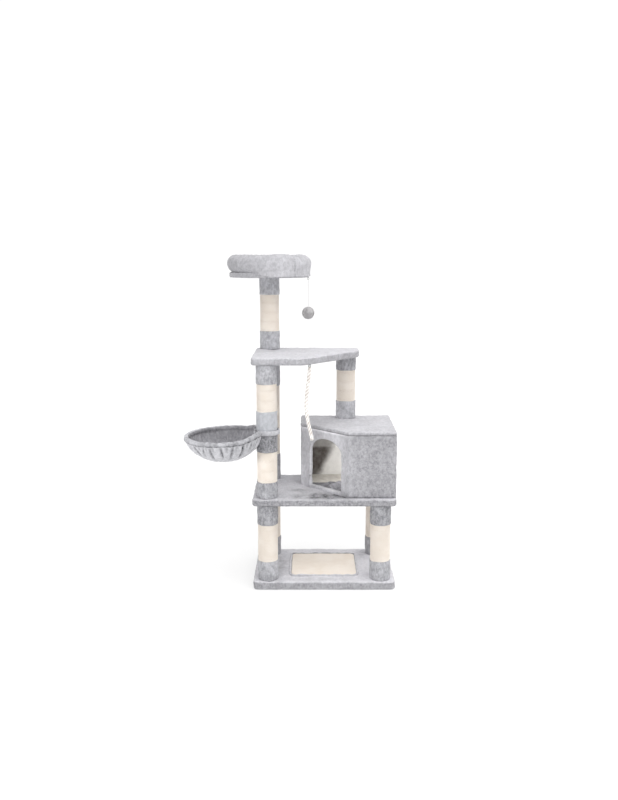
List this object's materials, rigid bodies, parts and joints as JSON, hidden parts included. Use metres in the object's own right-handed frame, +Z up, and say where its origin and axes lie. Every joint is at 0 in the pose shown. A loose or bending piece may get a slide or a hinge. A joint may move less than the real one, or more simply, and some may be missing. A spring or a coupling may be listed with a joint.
{
  "type": "cat tree",
  "caption": "Tall cat tree: plush boards on sisal posts, arched-door condo, hanging basket, round bolster bed, swinging ball and rope toys.",
  "frame": {"origin": "centre of the base's underside", "axes": "+X to the right seen from the front, +Y to the back, +Z up"},
  "size_m": [0.8817, 0.6509, 1.398],
  "materials": {
    "plush": "short brushed plush, matte",
    "dark_plush": "short brushed plush, matte",
    "pompom": "fluffy, matte",
    "sisal": "wound sisal rope, matte",
    "sisal_carpet": "woven sisal, matte",
    "cotton": "twisted cotton, matte",
    "cardboard": "wound kraft paper tube, matte",
    "steel": "black zinc, satin"
  },
  "bodies": {
    "frame": {"post_front_left_core": "cardboard", "post_front_left_sisal": "sisal", "post_front_left_lower_collar": "plush", "post_front_left_upper_collar": "plush", "post_front_right_core": "cardboard", "post_front_right_sisal": "sisal", "post_front_right_lower_collar": "plush", "post_front_right_upper_collar": "plush", "post_back_left_core": "cardboard", "post_back_left_sisal": "sisal", "post_back_left_lower_collar": "plush", "post_back_left_upper_collar": "plush", "post_back_right_core": "cardboard", "post_back_right_sisal": "sisal", "post_back_right_lower_collar": "plush", "post_back_right_upper_collar": "plush", "front_column_lower_core": "cardboard", "front_column_lower_sisal": "sisal", "front_column_lower_lower_collar": "plush", "front_column_lower_upper_collar": "plush", "front_column_upper_core": "cardboard", "front_column_upper_sisal": "sisal", "front_column_upper_lower_collar": "plush", "front_column_upper_upper_collar": "plush", "back_column_core": "cardboard", "back_column_sisal": "sisal", "back_column_lower_collar": "plush", "back_column_upper_collar": "plush", "house_post_core": "cardboard", "house_post_sisal": "sisal", "house_post_lower_collar": "plush", "house_post_upper_collar": "plush", "top_post_core": "cardboard", "top_post_sisal": "sisal", "top_post_lower_collar": "plush", "top_post_upper_collar": "plush", "base_board": "plush", "lower_shelf": "plush", "upper_shelf": "plush", "perch_board": "plush", "scratch_mat": "sisal_carpet", "house_left_wall": "plush", "house_door_panel": "plush", "house_front_wall": "plush", "house_right_wall": "plush", "house_back_wall": "plush", "house_roof": "plush", "house_floor_pad": "dark_plush", "bed_bolster": "plush", "bed_seat_pad": "plush", "ball_staple": "steel", "rope_staple": "steel"},
    "basket": {"basket_frame": "steel", "basket_band": "plush", "basket_pouch": "plush"},
    "ball_hanger": {"ball_ring": "steel"},
    "ball_toy": {"ball_string": "cotton", "ball": "pompom"},
    "rope_hanger": {"rope_ring": "steel"},
    "rope_toy": {"rope": "cotton"}
  },
  "joints": [
    {"name": "basket_swivel", "type": "hinge", "parent": "frame", "child": "basket", "pos_m": [-0.238, -0.15, 0.676], "axis": [0, 0, 1], "range_deg": [-30, 45]},
    {"name": "ball_side_swing", "type": "hinge", "parent": "frame", "child": "ball_hanger", "pos_m": [-0.068, 0.15, 1.297], "axis": [0, 1, 0], "range_deg": [-60, 35]},
    {"name": "ball_front_swing", "type": "hinge", "parent": "ball_hanger", "child": "ball_toy", "pos_m": [-0.068, 0.15, 1.29075], "axis": [1, 0, 0], "range_deg": [-60, 60]},
    {"name": "rope_side_swing", "type": "hinge", "parent": "frame", "child": "rope_hanger", "pos_m": [-0.061, -0.15, 0.9516], "axis": [0, 1, 0], "range_deg": [-11, 20]},
    {"name": "rope_front_swing", "type": "hinge", "parent": "rope_hanger", "child": "rope_toy", "pos_m": [-0.061, -0.15, 0.9443], "axis": [1, 0, 0], "range_deg": [-40, 11]}
  ]
}
